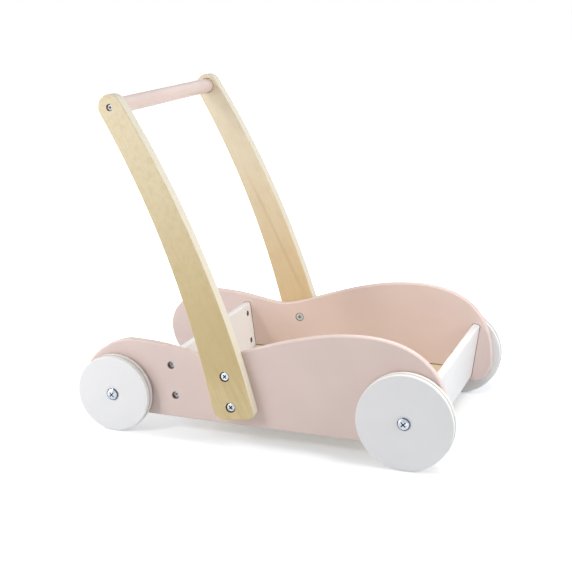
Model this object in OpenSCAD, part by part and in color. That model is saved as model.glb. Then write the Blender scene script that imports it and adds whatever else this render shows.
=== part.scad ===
// Wooden push-along baby walker: a five-board tray on four free-turning wheels, with two bent
// plywood arms that carry a round handle bar.
// +X points forwards, +Y to the walking child's left and +Z up. The origin is on the ground,
// midway between the back of the rear wheels and the front of the front wheels.
// Millimetres. Every right-hand piece is drawn at -Y; the left-hand ones are its mirror images.

/* [Wheels] */
// Diameter of a front wheel over its rubber ring
front_wheel_d = 120; // [104:1:126]
// Diameter of a rear wheel over its rubber ring
rear_wheel_d = 100; // [86:1:108]
// Distance between the two axles
wheelbase = 384; // [370:1:400]
// Thickness of a wooden wheel
wheel_w = 15; // [12:0.5:20]
// Chamfer round both rims of a wheel
wheel_chamfer = 1.2; // [0.4:0.1:3]
// Thickness of the rubber ring's round cord
tyre_cord_d = 3; // [2:0.1:5]
// How far the rubber ring stands out of the tread
tyre_proud = 0.5; // [0.2:0.1:1]
// Outside diameter of the nylon bush in a wheel
bush_d = 11; // [10:0.1:13]
// How far the bush stands out of each face of the wheel
bush_proud = 0.15; // [0.1:0.05:0.5]

/* [Axle bolts] */
// Diameter of the smooth shoulder that a wheel turns on
axle_d = 8; // [6.5:0.1:9]
// Diameter of the bolt's threaded end
axle_thread_d = 6; // [5:0.1:6.4]
// Diameter of the domed head
axle_head_d = 16; // [13:0.5:20]
// Height of the domed head
axle_head_h = 3.2; // [2.6:0.1:4]
// Thickness of the washer between a wheel and its side panel
axle_washer_t = 1.5; // [1:0.1:3]
// Diameter of that washer
axle_washer_d = 16; // [13:0.5:20]
// Diameter of the flange on the nut let into a side panel
nut_flange_d = 11.5; // [11:0.1:14]
// Thickness of that nut's flange
nut_flange_t = 1.2; // [0.8:0.1:2]
// Outside diameter of the nut's barrel
nut_barrel_d = 9.4; // [8.6:0.1:10]
// Distance from the end of the nut's barrel to the panel's outer face
nut_setback = 1; // [0.4:0.1:2]

/* [Side panels] */
// Clear width of the tray, between the side panels
tray_w = 247; // [220:1:270]
// Thickness of a side panel
panel_t = 10; // [9:0.5:14]
// Height of the straight lower edge above the ground
panel_base_z = 23; // [18:1:28]
// Reach of the panel behind the rear axle
tail_reach = 48; // [44:0.5:49]
// Height of the rearmost point
tail_z = 60; // [54:1:66]
// Distance from the rear axle forwards to the rear crest
tail_crest_x = 20; // [10:1:30]
// Height of the rear crest
tail_crest_z = 121; // [114:1:126]
// Distance from the rear axle forwards to the lowest point of the dip
dip_x = 128.5; // [120:0.5:136]
// Height of the dip
dip_z = 109.5; // [104:0.5:113]
// Distance from the front axle back to the top of the hump
hump_x = 56.5; // [48:0.5:66]
// Height of the hump
hump_z = 155.2; // [146:0.2:164]
// Reach of the panel ahead of the front axle
nose_reach = 50.4; // [46:0.2:56]
// Height of the foremost point
nose_z = 55; // [50:1:62]
// Distance from the rear axle back to the start of the straight lower edge
base_rear_x = 30.5; // [24:0.5:36]
// Distance from the front axle forwards to the end of the straight lower edge
base_front_x = 27.5; // [22:0.5:34]

/* [Front and rear boards] */
// Thickness of the front and rear boards
board_t = 10; // [9.5:0.5:13]
// Angle by which each board leans outwards
board_lean = 7.25; // [3:0.25:10]
// Height of the middle of a board's top edge
board_top_z = 105.5; // [100:0.5:110]
// Height of the middle of a board's bottom edge
board_base_z = 30; // [27:0.5:32]
// Radius of the rounded long edges
board_edge_r = 2.5; // [1:0.25:4]
// Distance from the rear axle forwards to the rear board's upper bolts
rear_board_x = 76; // [70:0.5:82]
// Distance from the front axle forwards to the front board's upper bolts
front_board_x = 26; // [20:0.5:28]
// Depth of the housings in the side panels that the boards' ends stand in
housing_h = 1.5; // [1:0.25:2]
// Clearance between a board's faces and its housing
housing_gap = 0.8; // [0.3:0.1:1]

/* [Board bolts] */
// Height of the upper bolts
board_bolt_z = 92; // [88:0.5:95]
// Distance between the two bolts at each end of a board
board_bolt_gap = 40; // [34:0.5:44]
// Diameter of a board bolt's shank
board_bolt_d = 5; // [4:0.1:6]
// Diameter of its domed head
board_head_d = 8; // [7:0.1:9]
// Height of its domed head
board_head_h = 2; // [1.6:0.1:2.4]
// Diameter of the recess for the head
board_recess_d = 10; // [9.2:0.1:12]
// Depth of the recess for the head
board_recess_h = 5.5; // [4:0.25:6]
// Length of a board bolt below its head
board_bolt_len = 22; // [21:0.5:24]
// Distance from a side panel's inner face to the middle of the barrel nuts
barrel_inset = 13; // [11:0.5:14]
// Diameter of a barrel nut
barrel_d = 7.4; // [7:0.1:9]
// Length of a barrel nut
barrel_len = 6.8; // [6:0.1:7.2]

/* [Floor] */
// Height of the tray floor's top face
floor_z = 42; // [40:0.5:44]
// Thickness of the tray floor
floor_t = 9; // [8:0.5:10]
// Depth of the grooves in the side panels that the floor lies in
groove_h = 3; // [2:0.25:5]
// Height of the grooves above the floor's top face
groove_gap = 0.8; // [0.2:0.1:1]
// Depth of the rebate that ends the floor's top face in front of each groove
rebate_h = 1; // [0.5:0.25:3]

/* [Handle arms] */
// Thickness of a handle arm
arm_t = 16; // [14:0.5:18]
// Distance from the rear axle forwards to the middle of the handle bar
bar_x = 13.5; // [4:0.5:24]
// Height of the middle of the handle bar
bar_z = 415.5; // [390:0.5:440]
// Radius of an arm's round top end
arm_top_r = 16; // [14.5:0.5:19]
// Radius of an arm's hollow rear edge
arm_rear_r = 1160; // [900:10:1500]
// Radius of an arm's bulging front edge
arm_front_r = 1316; // [1000:4:1700]
// Distance from the rear axle forwards to an arm's lower bolt
arm_bolt_x = 163.4; // [156:0.2:170]
// Height of an arm's lower bolt
arm_bolt_z = 51.6; // [50:0.2:54]
// Distance between an arm's two bolts
arm_bolt_gap = 40; // [34:0.5:46]
// Angle of the line through an arm's two bolts from the vertical
arm_bolt_lean = 10.6; // [6:0.2:14]
// Width of an arm behind its lower bolt
arm_foot_behind = 25.8; // [20:0.2:30]
// Width of an arm ahead of its lower bolt
arm_foot_ahead = 29.4; // [22:0.2:34]
// Distance from the lower bolt down to an arm's bottom edge
arm_foot_drop = 16.2; // [14:0.2:20]
// Slope of an arm's bottom edge, up towards the front
arm_foot_tilt = 7; // [0:0.5:12]
// Radius of the rear corner at the bottom
arm_heel_r = 16; // [8:0.5:18]
// Radius of the front corner at the bottom
arm_toe_r = 9; // [5:0.5:14]

/* [Arm bolts] */
// Diameter of an arm bolt's thread
arm_bolt_d = 6; // [5:0.1:6.2]
// Diameter of its flat head
arm_head_d = 11.5; // [9:0.1:12.2]
// Thickness of its flat head
arm_head_t = 1.6; // [1.2:0.1:2]
// Width of the sloping rim round the flat of its head
arm_head_rim = 1.1; // [0.4:0.1:1.8]
// Diameter of the recess for the head
arm_recess_d = 13; // [12.6:0.1:15]
// Depth of the recess for the head
arm_recess_h = 2.6; // [2.2:0.1:4]
// Outside diameter of the sleeve nut
sleeve_d = 8; // [7.2:0.1:9]
// Diameter of the sleeve nut's flange
sleeve_flange_d = 11; // [10:0.1:11.6]
// Thickness of the sleeve nut's flange
sleeve_flange_t = 1.5; // [1:0.1:2]
// Diameter of the recess for the flange
sleeve_recess_d = 12.2; // [12:0.1:13]
// Depth of the recess for the flange
sleeve_recess_h = 2; // [1.9:0.1:3]
// Distance from the end of the sleeve nut to the arm bolt's head
sleeve_gap = 5; // [2:0.5:7]

/* [Handle bar] */
// Diameter of the handle bar
bar_d = 20; // [16:0.5:24]
// Depth of the seat that the bar's end stands in, in each arm
bar_seat_h = 3; // [2:0.25:5]
// Radial clearance of the bar in its seat
bar_seat_gap = 0.5; // [0.1:0.05:0.6]
// Diameter of a handle screw's thread
bar_screw_d = 5; // [4:0.1:5.6]
// Diameter of its domed head
bar_head_d = 7.4; // [6.6:0.1:7.8]
// Height of its domed head
bar_head_h = 2; // [1.6:0.1:2.4]
// Diameter of the recess for the head
bar_recess_d = 8.6; // [8.4:0.1:11]
// Depth of the recess for the head
bar_recess_h = 3.5; // [3:0.25:6]
// Outside diameter of the threaded insert in each end of the bar
insert_d = 8; // [7:0.1:9]
// Length of the threaded insert
insert_len = 14; // [10:0.5:18]

/* [Clearances] */
// Radial clearance of a wheel's bush on its bolt
running_gap = 0.08; // [0.02:0.01:0.1]
// End play of a wheel, at each end of its bush
end_play = 0.15; // [0.1:0.05:0.3]
// Radial clearance of a bolt or nut in its hole
hole_gap = 0.2; // [0.1:0.05:0.3]
// Radial clearance of a threaded end in its nut
thread_gap = 0.05; // [0.02:0.01:0.1]
// Gap at the ends of the boards and of the floor
board_gap = 0.3; // [0.2:0.05:0.6]

/* [Hidden] */

// Finishes
pink = "#DDBFB9";
white = "#F1F0EE";
birch = "#DCC68C";
cream = "#E6E2D2";
zinc = "#B9BEC4";

// Facets of round solids, and the furthest that a drawn arc's chord lies inside its arc
$fn = 72;
chord_sag = 0.04;
// Steps of each free curve in the side panel's outline
curve_steps = 20;
// Overlap of a cutting tool past the face that it cuts
cut = 1;

// Axles
front_axle = [(wheelbase + (rear_wheel_d - front_wheel_d) / 2) / 2, front_wheel_d / 2];
rear_axle = [front_axle.x - wheelbase, rear_wheel_d / 2];

// Distances outwards from the middle plane
panel_in = tray_w / 2;
panel_out = panel_in + panel_t;
arm_out = panel_out + arm_t;
washer_out = panel_out + axle_washer_t;
bush_in = washer_out + end_play;
wheel_in = bush_in + bush_proud;
wheel_out = wheel_in + wheel_w;
bush_out = wheel_out + bush_proud;
axle_head_in = bush_out + end_play;
nut_end = panel_out - nut_setback;
board_end = panel_in + housing_h - board_gap;
floor_end = panel_in - board_gap;
tongue_end = panel_in + groove_h - board_gap;
bar_end = panel_out + bar_seat_h;

// Lengths of the pulls that shape the side panel's free curves, at the start and end of each
tail_foot_pull = [9, 12];
tail_top_pull = [39, 18];
tail_slope_pull = [62, 26];
hump_rise_pull = [35, 87];
nose_pull = [74, 61];
nose_foot_pull = [15, 12];

// Directions in the side view
forwards = [1, 0];
upwards = [0, 1];

// Corners and crests of a side panel
base_rear = [rear_axle.x - base_rear_x, panel_base_z];
tail = [rear_axle.x - tail_reach, tail_z];
tail_crest = [rear_axle.x + tail_crest_x, tail_crest_z];
dip = [rear_axle.x + dip_x, dip_z];
hump = [front_axle.x - hump_x, hump_z];
nose = [front_axle.x + nose_reach, nose_z];
base_front = [front_axle.x + base_front_x, panel_base_z];

// Boards: the upper bolt of each, and the way it leans
rear_board_bolt = [rear_axle.x + rear_board_x, board_bolt_z];
front_board_bolt = [front_axle.x + front_board_x, board_bolt_z];
rear_lean = -board_lean;
front_lean = board_lean;
board_bolt_places = concat(
    board_bolts(rear_board_bolt, rear_lean),
    board_bolts(front_board_bolt, front_lean)
);
barrel_y = panel_in - barrel_inset;
// Wood left under a barrel nut, the slot in its open end, and spare depth of the bolt's hole
barrel_floor = 1.4;
nut_slot_w = 1;
nut_slot_h = 0.5;
board_hole_spare = 1;
board_hole_end = panel_out - board_recess_h - board_bolt_len - board_hole_spare;

// Tray floor: its ends stop short of the boards at the height of its underside
floor_base_z = floor_z - floor_t;
floor_drop = board_bolt_z - floor_base_z;
board_face = board_t / 2 / cos(board_lean);
floor_rear_x = rear_board_bolt.x + floor_drop * tan(board_lean) + board_face + board_gap;
floor_front_x = front_board_bolt.x - floor_drop * tan(board_lean) - board_face - board_gap;
floor_len = floor_front_x - floor_rear_x;

// Arms: bolts, top end and the two edge arcs
bar_axis = [rear_axle.x + bar_x, bar_z];
arm_low_bolt = [rear_axle.x + arm_bolt_x, arm_bolt_z];
arm_high_bolt = arm_low_bolt + arm_bolt_gap * [-sin(arm_bolt_lean), cos(arm_bolt_lean)];
arm_bolt_places = [arm_low_bolt, arm_high_bolt];
arm_rear_foot = arm_low_bolt - [arm_foot_behind, 0];
arm_front_foot = arm_low_bolt + [arm_foot_ahead, 0];
arm_rear_centre = meet(bar_axis, arm_rear_r + arm_top_r, arm_rear_foot, arm_rear_r);
arm_front_centre = meet(bar_axis, arm_front_r - arm_top_r, arm_front_foot, arm_front_r);
foot_along = [cos(arm_foot_tilt), sin(arm_foot_tilt)];
foot_up = [-sin(arm_foot_tilt), cos(arm_foot_tilt)];
foot_point = arm_low_bolt - arm_foot_drop * foot_up;
heel_centre = corner(arm_rear_centre, arm_rear_r + arm_heel_r, arm_heel_r);
toe_centre = corner(arm_front_centre, arm_front_r - arm_toe_r, arm_toe_r);

// Upright rim of a domed head as a share of the head's height: an axle bolt's, and a small screw's
axle_rim_share = 0.25;
screw_rim_share = 0.6;
// Cross recess in a screw head: width of a slot, its length as a share of the head, its depth
cross_w = 1.5;
cross_share = 0.5;
cross_h = 1.4;
// Turn of a cross whose slots slope, and of one whose slots stand level and upright
cross_lean = 45;
cross_upright = 0;
// Hexagon socket in a sleeve nut's flange
socket_d = 4.6;
socket_h = 2;
sleeve_web = 2;

// ---------------------------------------------------------------- drawing functions

// Angle of a vector in the side view
function heading(v) = atan2(v.y, v.x);

// The rearward one of the two points at distance r from p and s from q, which lies below p
function meet(p, r, q, s) =
    let (
        d = norm(q - p),
        a = (r * r - s * s + d * d) / (2 * d),
        h = sqrt(r * r - a * a),
        u = (q - p) / d
    )
    p + a * u + h * [u.y, -u.x];

// Centre of a bottom corner of radius r, at distance d from the edge arc's centre c
function corner(c, d, r) =
    let (w = foot_point + r * foot_up - c, b = w * foot_along)
    w + c + (-b + sqrt(b * b - w * w + d * d)) * foot_along;

// Points of an arc about c from angle a to angle b
function arc(c, r, a, b) =
    let (n = max(2, ceil(abs(b - a) / (2 * acos(1 - chord_sag / r)))))
    [for (i = [0 : n]) let (t = a + (b - a) * i / n) c + r * [cos(t), sin(t)]];

// Points of a free curve from p to q, without p, leaving along u and arriving along v
function curve(p, u, q, v) = [
    for (i = [1 : curve_steps])
        let (t = i / curve_steps, s = 1 - t)
        s * s * s * p + 3 * s * s * t * (p + u) + 3 * s * t * t * (q - v) + t * t * t * q
];

// Outline of a side panel, from the rear end of its straight edge over the top to the front end
function side_outline() = concat(
    [base_rear],
    curve(base_rear, -tail_foot_pull[0] * forwards, tail, tail_foot_pull[1] * upwards),
    curve(tail, tail_top_pull[0] * upwards, tail_crest, tail_top_pull[1] * forwards),
    curve(tail_crest, tail_slope_pull[0] * forwards, dip, tail_slope_pull[1] * forwards),
    curve(dip, hump_rise_pull[0] * forwards, hump, hump_rise_pull[1] * forwards),
    curve(hump, nose_pull[0] * forwards, nose, -nose_pull[1] * upwards),
    curve(nose, -nose_foot_pull[0] * upwards, base_front, -nose_foot_pull[1] * forwards)
);

// Outline of a handle arm: heel, rear edge, round top, front edge, toe
function arm_outline() =
    let (
        rear_low = heading(heel_centre - arm_rear_centre),
        rear_high = heading(bar_axis - arm_rear_centre),
        front_high = heading(bar_axis - arm_front_centre),
        front_low = heading(toe_centre - arm_front_centre),
        down = arm_foot_tilt - 90
    )
    concat(
        arc(heel_centre, arm_heel_r, down, rear_low - 180),
        arc(arm_rear_centre, arm_rear_r, rear_low, rear_high),
        arc(bar_axis, arm_top_r, rear_high + 180, front_high),
        arc(arm_front_centre, arm_front_r, front_high, front_low),
        arc(toe_centre, arm_toe_r, front_low, down)
    );

// Cross-section of a board, grown by a clearance: its long edges rounded, its upper bolt at the origin
function board_outline(grown) =
    let (
        top = (board_top_z - board_bolt_z) / cos(board_lean) - board_edge_r,
        base = (board_base_z - board_bolt_z) / cos(board_lean) + board_edge_r,
        side = board_t / 2 - board_edge_r,
        r = board_edge_r + grown
    )
    concat(
        arc([side, top], r, 0, 90),
        arc([-side, top], r, 90, 180),
        arc([-side, base], r, 180, 270),
        arc([side, base], r, 270, 360)
    );

// The two bolts at each end of a board, in the side view
function board_bolts(upper, lean) = [upper, upper - board_bolt_gap * [sin(lean), cos(lean)]];

// ---------------------------------------------------------------- helpers

// Moves a right-hand piece to the left-hand side
module left() {
    mirror([0, 1, 0]) children();
}

// Plate with a side-view outline, between two distances from the middle plane
module plate(outline, near, far) {
    translate([0, -near, 0]) rotate([90, 0, 0]) linear_extrude(far - near) polygon(outline);
}

// Round bar across the walker at a point of the side view
module rod(at, d, near, far) {
    translate([at.x, -near, at.y]) rotate([90, 0, 0]) cylinder(d = d, h = far - near);
}

// Cross recess sunk into a head whose face lies at a distance from the middle plane
module cross(at, head_d, face, first_turn) {
    for (turn = [first_turn, first_turn + 90])
        translate([at.x, -face, at.y])
            rotate([0, turn, 0])
                cube([head_d * cross_share, 2 * cross_h, cross_w], center = true);
}

// Turns a profile round an axis at a point of the side view; the profile's Y runs outwards
module turned(at) {
    translate([at.x, 0, at.y]) rotate([90, 0, 0]) rotate_extrude() children();
}

// Domed head of diameter d and height h, with an upright rim, that stands out from a distance
module dome(at, d, h, near, rim_share) {
    rise = h * (1 - rim_share);
    ball_r = (d * d / 4 + rise * rise) / (2 * rise);
    rod(at, d, near, near + h - rise);
    turned(at) translate([0, near + h - rise]) intersection() {
        translate([0, rise - ball_r]) circle(r = ball_r);
        square([d / 2, rise]);
    }
}

// Bolt with a domed, cross-recessed head
module dome_bolt(at, d, head_d, head_h, seat, tip, cross_turn) {
    difference() {
        union() {
            rod(at, d, tip, seat);
            dome(at, head_d, head_h, seat, screw_rim_share);
        }
        cross(at, head_d, seat + head_h, cross_turn);
    }
}

// Puts a board's own frame at its upper bolt, leaning
module board_frame(upper, lean) {
    translate([upper.x, 0, upper.y]) rotate([0, lean, 0]) children();
}

// ---------------------------------------------------------------- tray

module side_panel() {
    color(pink) difference() {
        plate(side_outline(), panel_in, panel_out);
        for (axle = [front_axle, rear_axle]) {
            rod(axle, nut_barrel_d + 2 * hole_gap, panel_in - cut, panel_out + cut);
            rod(axle, nut_flange_d + 2 * hole_gap, panel_in - cut, panel_in + nut_flange_t);
        }
        for (at = board_bolt_places) {
            rod(at, board_bolt_d + 2 * hole_gap, panel_in - cut, panel_out);
            rod(at, board_recess_d, panel_out - board_recess_h, panel_out + cut);
        }
        for (at = arm_bolt_places) {
            rod(at, sleeve_d + 2 * hole_gap, panel_in - cut, panel_out + cut);
            rod(at, sleeve_recess_d, panel_in - cut, panel_in + sleeve_recess_h);
        }
        board_housing(rear_board_bolt, rear_lean);
        board_housing(front_board_bolt, front_lean);
        translate([floor_rear_x - board_gap, -panel_in - groove_h, floor_base_z])
            cube([floor_len + 2 * board_gap, groove_h + cut, floor_t + groove_gap]);
    }
}

// The room in a side panel for a board's end
module board_housing(upper, lean) {
    board_frame(upper, lean) plate(board_outline(housing_gap), panel_in - cut, panel_in + housing_h);
}

// Front or rear board; inwards is the way along X from the board to the tray's inside
module board(upper, lean, inwards) {
    color(white) difference() {
        board_frame(upper, lean)
            rotate([90, 0, 0])
                linear_extrude(2 * board_end, center = true) polygon(board_outline(0));
        for (at = board_bolts(upper, lean), end = [0, 1])
            mirror([0, end, 0])
                rod(at, board_bolt_d + 2 * hole_gap, board_hole_end, board_end + cut);
        board_frame(upper, lean)
            for (drop = [0, board_bolt_gap], y = [-barrel_y, barrel_y])
                translate([inwards * (barrel_floor - board_t / 2), y, -drop])
                    rotate([0, inwards * 90, 0])
                        cylinder(d = barrel_d + 2 * hole_gap, h = board_t);
    }
}

// The barrel nuts of a board: four round nuts that stand across it, each with a cross bore and a
// screwdriver slot in its open end
module barrel_nuts(upper, lean, inwards) {
    color(zinc) board_frame(upper, lean)
        for (drop = [0, board_bolt_gap], y = [-barrel_y, barrel_y])
            difference() {
                translate([inwards * (barrel_floor - board_t / 2), y, -drop])
                    rotate([0, inwards * 90, 0])
                        cylinder(d = barrel_d, h = barrel_len);
                translate([0, y, -drop])
                    rotate([90, 0, 0])
                        cylinder(d = board_bolt_d + 2 * thread_gap, h = 2 * barrel_d, center = true);
                translate([inwards * (barrel_floor - board_t / 2 + barrel_len), y, -drop])
                    cube([2 * nut_slot_h, barrel_d + cut, nut_slot_w], center = true);
            }
}

module board_bolt_pair(upper, lean) {
    seat = panel_out - board_recess_h;
    tip = seat - board_bolt_len;
    color(zinc)
        for (at = board_bolts(upper, lean))
            dome_bolt(at, board_bolt_d, board_head_d, board_head_h, seat, tip, cross_lean);
}

module floor_board() {
    color(birch) translate([floor_rear_x, 0, floor_base_z]) {
        translate([0, -floor_end, 0]) cube([floor_len, 2 * floor_end, floor_t]);
        translate([0, -tongue_end, 0]) cube([floor_len, 2 * tongue_end, floor_t - rebate_h]);
    }
}

// ---------------------------------------------------------------- handle

module handle_arm() {
    color(birch) difference() {
        plate(arm_outline(), panel_out, arm_out);
        for (at = arm_bolt_places) {
            rod(at, sleeve_d + 2 * hole_gap, panel_out - cut, arm_out);
            rod(at, arm_recess_d, arm_out - arm_recess_h, arm_out + cut);
        }
        rod(bar_axis, bar_d + 2 * bar_seat_gap, panel_out - cut, bar_end);
        rod(bar_axis, bar_screw_d + 2 * hole_gap, panel_out, arm_out);
        rod(bar_axis, bar_recess_d, arm_out - bar_recess_h, arm_out + cut);
    }
}

module arm_bolt_pair() {
    seat = arm_out - arm_recess_h;
    color(zinc)
        for (at = arm_bolt_places)
            difference() {
                union() {
                    rod(at, arm_bolt_d, panel_in + sleeve_recess_h + sleeve_web + cut, seat);
                    turned(at) polygon([
                        [0, seat],
                        [arm_head_d / 2, seat],
                        [arm_head_d / 2, seat + arm_head_t / 2],
                        [arm_head_d / 2 - arm_head_rim, seat + arm_head_t],
                        [0, seat + arm_head_t]
                    ]);
                }
                cross(at, arm_head_d, seat + arm_head_t, cross_lean);
            }
}

module arm_sleeve_nut_pair() {
    flange_out = panel_in + sleeve_recess_h;
    flange_in = flange_out - sleeve_flange_t;
    tip = arm_out - arm_recess_h - sleeve_gap;
    color(zinc)
        for (at = arm_bolt_places)
            difference() {
                union() {
                    rod(at, sleeve_flange_d, flange_in, flange_out);
                    rod(at, sleeve_d, flange_out, tip);
                }
                rod(at, arm_bolt_d + 2 * thread_gap, flange_out + sleeve_web, tip + cut);
                rod(at, socket_d, flange_in - cut, flange_in + socket_h, $fn = 6);
            }
}

module handle_bar() {
    screw_end = bar_end - insert_len - bar_recess_h - cut;
    color(pink) difference() {
        translate([bar_axis.x, 0, bar_axis.y])
            rotate([90, 0, 0])
                cylinder(d = bar_d, h = 2 * bar_end, center = true);
        for (end = [0, 1])
            mirror([0, end, 0]) {
                rod(bar_axis, insert_d + 2 * thread_gap, bar_end - insert_len, bar_end + cut);
                rod(bar_axis, bar_screw_d + 2 * hole_gap, screw_end, bar_end);
            }
    }
}

module handle_insert() {
    color(zinc) difference() {
        rod(bar_axis, insert_d, bar_end - insert_len, bar_end);
        rod(bar_axis, bar_screw_d + 2 * thread_gap, bar_end - insert_len - cut, bar_end + cut);
    }
}

module handle_screw() {
    seat = arm_out - bar_recess_h;
    tip = bar_end - insert_len - bar_recess_h;
    color(zinc)
        dome_bolt(bar_axis, bar_screw_d, bar_head_d, bar_head_h, seat, tip, cross_upright);
}

// ---------------------------------------------------------------- wheels

module wheel(axle) {
    tread_r = axle.y - tyre_proud;
    groove_r = axle.y - tyre_cord_d;
    middle = (wheel_in + wheel_out) / 2;
    groove_w = tyre_cord_d + 2 * thread_gap;
    color(white) turned(axle) difference() {
        polygon([
            [bush_d / 2, wheel_in],
            [tread_r - wheel_chamfer, wheel_in],
            [tread_r, wheel_in + wheel_chamfer],
            [tread_r, wheel_out - wheel_chamfer],
            [tread_r - wheel_chamfer, wheel_out],
            [bush_d / 2, wheel_out]
        ]);
        translate([groove_r, middle - groove_w / 2]) square([tyre_cord_d + cut, groove_w]);
    }
}

module tyre(axle) {
    middle = (wheel_in + wheel_out) / 2;
    color(cream) turned(axle) translate([axle.y - tyre_cord_d / 2, middle]) circle(d = tyre_cord_d);
}

module hub_bush(axle) {
    color(white) difference() {
        rod(axle, bush_d, bush_in, bush_out);
        rod(axle, axle_d + 2 * running_gap, bush_in - cut, bush_out + cut);
    }
}

module axle_bolt(axle) {
    color(zinc) difference() {
        union() {
            rod(axle, axle_thread_d, panel_in, nut_end);
            rod(axle, axle_d, nut_end, axle_head_in);
            dome(axle, axle_head_d, axle_head_h, axle_head_in, axle_rim_share);
        }
        cross(axle, axle_head_d, axle_head_in + axle_head_h, cross_lean);
    }
}

module axle_washer(axle) {
    color(zinc) difference() {
        rod(axle, axle_washer_d, panel_out, washer_out);
        rod(axle, axle_d + 2 * hole_gap, panel_out - cut, washer_out + cut);
    }
}

module axle_nut(axle) {
    color(zinc) difference() {
        union() {
            rod(axle, nut_flange_d, panel_in, panel_in + nut_flange_t);
            rod(axle, nut_barrel_d, panel_in + nut_flange_t, nut_end);
        }
        rod(axle, axle_thread_d + 2 * thread_gap, panel_in - cut, nut_end + cut);
    }
}

// ---------------------------------------------------------------- pieces

left() side_panel();  // side_panel_left
side_panel();  // side_panel_right
board(rear_board_bolt, rear_lean, 1);  // rear_board
board(front_board_bolt, front_lean, -1);  // front_board
floor_board();
left() handle_arm();  // handle_arm_left
handle_arm();  // handle_arm_right
handle_bar();
left() handle_insert();  // handle_insert_left
handle_insert();  // handle_insert_right
left() handle_screw();  // handle_screw_left
handle_screw();  // handle_screw_right
left() arm_bolt_pair();  // arm_bolts_left
arm_bolt_pair();  // arm_bolts_right
left() arm_sleeve_nut_pair();  // arm_sleeve_nuts_left
arm_sleeve_nut_pair();  // arm_sleeve_nuts_right
left() board_bolt_pair(rear_board_bolt, rear_lean);  // rear_board_bolts_left
board_bolt_pair(rear_board_bolt, rear_lean);  // rear_board_bolts_right
left() board_bolt_pair(front_board_bolt, front_lean);  // front_board_bolts_left
board_bolt_pair(front_board_bolt, front_lean);  // front_board_bolts_right
barrel_nuts(rear_board_bolt, rear_lean, 1);  // rear_board_barrel_nuts
barrel_nuts(front_board_bolt, front_lean, -1);  // front_board_barrel_nuts
left() wheel(front_axle);  // wheel_front_left
wheel(front_axle);  // wheel_front_right
left() wheel(rear_axle);  // wheel_rear_left
wheel(rear_axle);  // wheel_rear_right
left() tyre(front_axle);  // tyre_front_left
tyre(front_axle);  // tyre_front_right
left() tyre(rear_axle);  // tyre_rear_left
tyre(rear_axle);  // tyre_rear_right
left() hub_bush(front_axle);  // hub_bush_front_left
hub_bush(front_axle);  // hub_bush_front_right
left() hub_bush(rear_axle);  // hub_bush_rear_left
hub_bush(rear_axle);  // hub_bush_rear_right
left() axle_bolt(front_axle);  // axle_bolt_front_left
axle_bolt(front_axle);  // axle_bolt_front_right
left() axle_bolt(rear_axle);  // axle_bolt_rear_left
axle_bolt(rear_axle);  // axle_bolt_rear_right
left() axle_washer(front_axle);  // axle_washer_front_left
axle_washer(front_axle);  // axle_washer_front_right
left() axle_washer(rear_axle);  // axle_washer_rear_left
axle_washer(rear_axle);  // axle_washer_rear_right
left() axle_nut(front_axle);  // axle_nut_front_left
axle_nut(front_axle);  // axle_nut_front_right
left() axle_nut(rear_axle);  // axle_nut_rear_left
axle_nut(rear_axle);  // axle_nut_rear_right
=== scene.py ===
"""Looks of a wooden push-along baby walker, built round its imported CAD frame.

Every piece lies in the frame's own metres: +X points forwards, +Y to the walking child's left and
+Z up, with the origin on the ground under the middle of the walker.
"""

import logging
import math
from collections.abc import Callable, Iterable
from dataclasses import dataclass, field
from enum import Enum

import bmesh
import bpy
from mathutils import Euler, Matrix, Vector


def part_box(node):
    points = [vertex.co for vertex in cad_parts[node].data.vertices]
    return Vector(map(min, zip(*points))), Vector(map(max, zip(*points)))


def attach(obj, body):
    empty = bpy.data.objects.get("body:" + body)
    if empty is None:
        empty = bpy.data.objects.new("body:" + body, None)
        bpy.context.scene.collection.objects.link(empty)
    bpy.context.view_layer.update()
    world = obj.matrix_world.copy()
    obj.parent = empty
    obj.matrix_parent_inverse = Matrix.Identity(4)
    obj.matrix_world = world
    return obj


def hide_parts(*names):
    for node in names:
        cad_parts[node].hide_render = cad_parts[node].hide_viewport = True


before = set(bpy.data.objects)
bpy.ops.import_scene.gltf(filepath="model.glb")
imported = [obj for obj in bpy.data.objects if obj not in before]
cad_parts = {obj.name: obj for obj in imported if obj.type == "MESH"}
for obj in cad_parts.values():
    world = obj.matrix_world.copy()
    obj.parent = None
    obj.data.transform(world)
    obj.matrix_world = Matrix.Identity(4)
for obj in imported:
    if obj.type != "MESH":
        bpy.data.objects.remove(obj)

LOG = logging.getLogger("walker")
MM = 0.001
WHITE = (1.0, 1.0, 1.0, 1.0)
Colour = tuple[float, float, float, float]
Socket = bpy.types.NodeSocket
Inputs = dict[str | int, object]
Material = bpy.types.Material
Piece = bpy.types.Object
Mesh = bmesh.types.BMesh
Edge = bmesh.types.BMEdge
Face = bmesh.types.BMFace


class Slot(str, Enum):
    """The record's material slots."""

    PINK = "pink_paint"
    WHITE = "white_paint"
    BIRCH = "birch_ply"
    RUBBER = "rubber"
    ZINC = "zinc"


class Side(Enum):
    """The walker's two sides, by the sign of their place along Y."""

    LEFT = 1
    RIGHT = -1

    @property
    def label(self) -> str:
        """The side's name as it stands in the names of nodes."""
        return self.name.lower()


class End(str, Enum):
    """The walker's two ends, as they stand in the names of nodes."""

    FRONT = "front"
    REAR = "rear"


class Thin(Enum):
    """The axis that a board's thickness lies along."""

    Y = "Y"
    Z = "Z"


def paint(red: int, green: int, blue: int) -> Colour:
    """Turns a colour of the usual 0 to 255 kind into the linear colour that shaders take.

    Args:
        red: The red part, 0 to 255.
        green: The green part, 0 to 255.
        blue: The blue part, 0 to 255.

    Returns:
        The linear colour with a full alpha.
    """
    parts = [part / 255 for part in (red, green, blue)]
    linear = [part / 12.92 if part <= 0.04045 else ((part + 0.055) / 1.055) ** 2.4 for part in parts]
    return (*linear, 1.0)


# ---- shader nodes


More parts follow.
